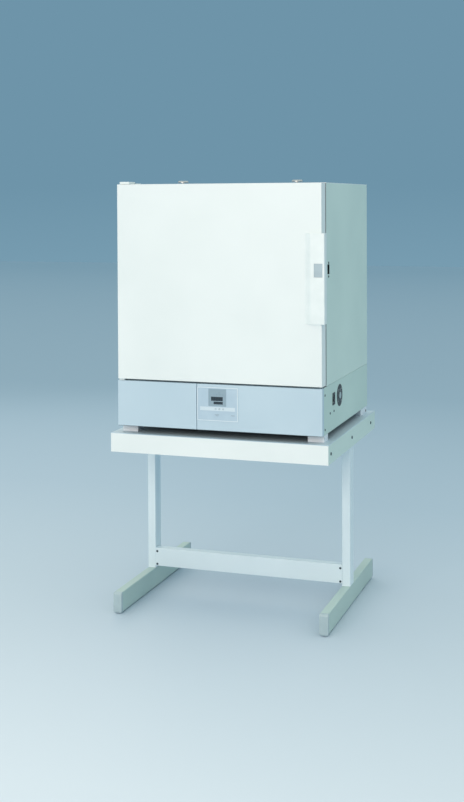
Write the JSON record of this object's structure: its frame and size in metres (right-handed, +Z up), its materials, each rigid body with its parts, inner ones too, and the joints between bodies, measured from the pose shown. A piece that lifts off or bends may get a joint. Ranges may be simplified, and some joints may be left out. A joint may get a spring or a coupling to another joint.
{
  "type": "laboratory drying oven on a floor stand",
  "caption": "Bench-type laboratory drying oven with a side-hinged door, front controller and top exhaust caps, standing on a steel floor stand.",
  "frame": {"origin": "on the floor, under the centre of the stand's shelf", "axes": "+X towards the handle side, -Y the front, +Z up"},
  "size_m": [0.759, 0.69, 1.465],
  "materials": {
    "white_enamel": "satin",
    "grey_enamel": "satin",
    "stand_enamel": "satin",
    "zinc_steel": "satin",
    "stainless": "brushed",
    "heater_steel": "satin",
    "white_plastic": "gloss",
    "grey_plastic": "matte",
    "black_plastic": "matte",
    "dark_window": "gloss",
    "silicone": "matte",
    "mineral_wool": "matte",
    "brass_bush": "satin",
    "board_laminate": "satin"
  },
  "bodies": {
    "oven": {"stand_shelf": "stand_enamel", "stand_end_aprons": "white_enamel", "stand_side_aprons": "stand_enamel", "corner_angles": "zinc_steel", "stand_legs": "stand_enamel", "stand_feet": "stand_enamel", "foot_end_caps": "grey_plastic", "cross_beam": "stand_enamel", "stand_screws": "zinc_steel", "support_pads": "stand_enamel", "base_pan": "grey_enamel", "base_sides": "grey_enamel", "base_rear": "grey_enamel", "base_deck": "zinc_steel", "mains_gland": "black_plastic", "left_front_cover": "grey_enamel", "control_panel": "grey_enamel", "display_module": "grey_plastic", "display_windows": "dark_window", "control_board": "board_laminate", "solid_state_relay": "black_plastic", "terminal_block": "black_plastic", "breaker_body": "black_plastic", "dial_plate": "black_plastic", "thermostat": "grey_plastic", "cabinet_sides": "grey_enamel", "top_panel": "white_enamel", "rear_panel": "grey_enamel", "front_frame": "stainless", "chamber_side_walls": "stainless", "chamber_ceiling": "stainless", "chamber_rear_wall": "stainless", "chamber_bottom": "stainless", "chamber_floor": "stainless", "heaters": "heater_steel", "temperature_probe": "stainless", "insulation": "mineral_wool", "shelf_runners": "stainless", "lower_shelf": "stainless", "upper_shelf": "stainless", "exhaust_pipes": "stainless", "door_hinges": "white_enamel", "latch_catch": "black_plastic", "oven_screws": "zinc_steel"},
    "door": {"door_skin": "white_enamel", "door_core": "mineral_wool", "door_inner_panel": "stainless", "door_gasket": "silicone", "door_hinge_bushes": "brass_bush", "door_handle": "white_plastic", "latch_bracket": "zinc_steel"},
    "push_key": {"push_key": "grey_plastic"},
    "latch": {"latch_hook": "zinc_steel"},
    "key_1": {"key_1": "grey_plastic"},
    "key_2": {"key_2": "grey_plastic"},
    "key_3": {"key_3": "grey_plastic"},
    "breaker": {"breaker_lever": "black_plastic"},
    "dial": {"dial_knob": "grey_plastic"},
    "left_cap": {"left_exhaust_cap": "stainless"},
    "right_cap": {"right_exhaust_cap": "stainless"}
  },
  "joints": [
    {"name": "door_swing", "type": "hinge", "parent": "oven", "child": "door", "pos_m": [-0.338, -0.321, 1.12265], "axis": [0, 0, -1], "range_deg": [0, 130]},
    {"name": "push_key_press", "type": "slide", "parent": "door", "child": "push_key", "axis": [0, 1, 0], "range_m": [0, 0.005], "stiffness_N_per_m": 600},
    {"name": "latch_release", "type": "hinge", "parent": "door", "child": "latch", "pos_m": [0.3415, -0.304, 1.165], "axis": [-1, 0, 0], "range_deg": [0, 14]},
    {"name": "breaker_flip", "type": "hinge", "parent": "oven", "child": "breaker", "pos_m": [0.347, -0.1875, 0.7405], "axis": [0, -1, 0], "range_deg": [0, 50]},
    {"name": "dial_turn", "type": "hinge", "parent": "oven", "child": "dial", "pos_m": [0.355, -0.106, 0.7405], "axis": [1, 0, 0], "range_deg": [-135, 135]},
    {"name": "key_1_press", "type": "slide", "parent": "oven", "child": "key_1", "axis": [0, 1, 0], "range_m": [0, 0.0008], "stiffness_N_per_m": 500},
    {"name": "key_2_press", "type": "slide", "parent": "oven", "child": "key_2", "axis": [0, 1, 0], "range_m": [0, 0.0008], "stiffness_N_per_m": 500},
    {"name": "key_3_press", "type": "slide", "parent": "oven", "child": "key_3", "axis": [0, 1, 0], "range_m": [0, 0.0008], "stiffness_N_per_m": 500},
    {"name": "left_cap_turn", "type": "hinge", "parent": "oven", "child": "left_cap", "pos_m": [-0.207, -0.095, 1.452], "axis": [0, 0, 1], "range_deg": [0, 180]},
    {"name": "right_cap_turn", "type": "hinge", "parent": "oven", "child": "right_cap", "pos_m": [0.207, -0.095, 1.452], "axis": [0, 0, 1], "range_deg": [0, 180]}
  ],
  "couplings": [
    {"joint": "latch_release", "follows": "push_key_press", "rad_per_m": 48.86}
  ]
}
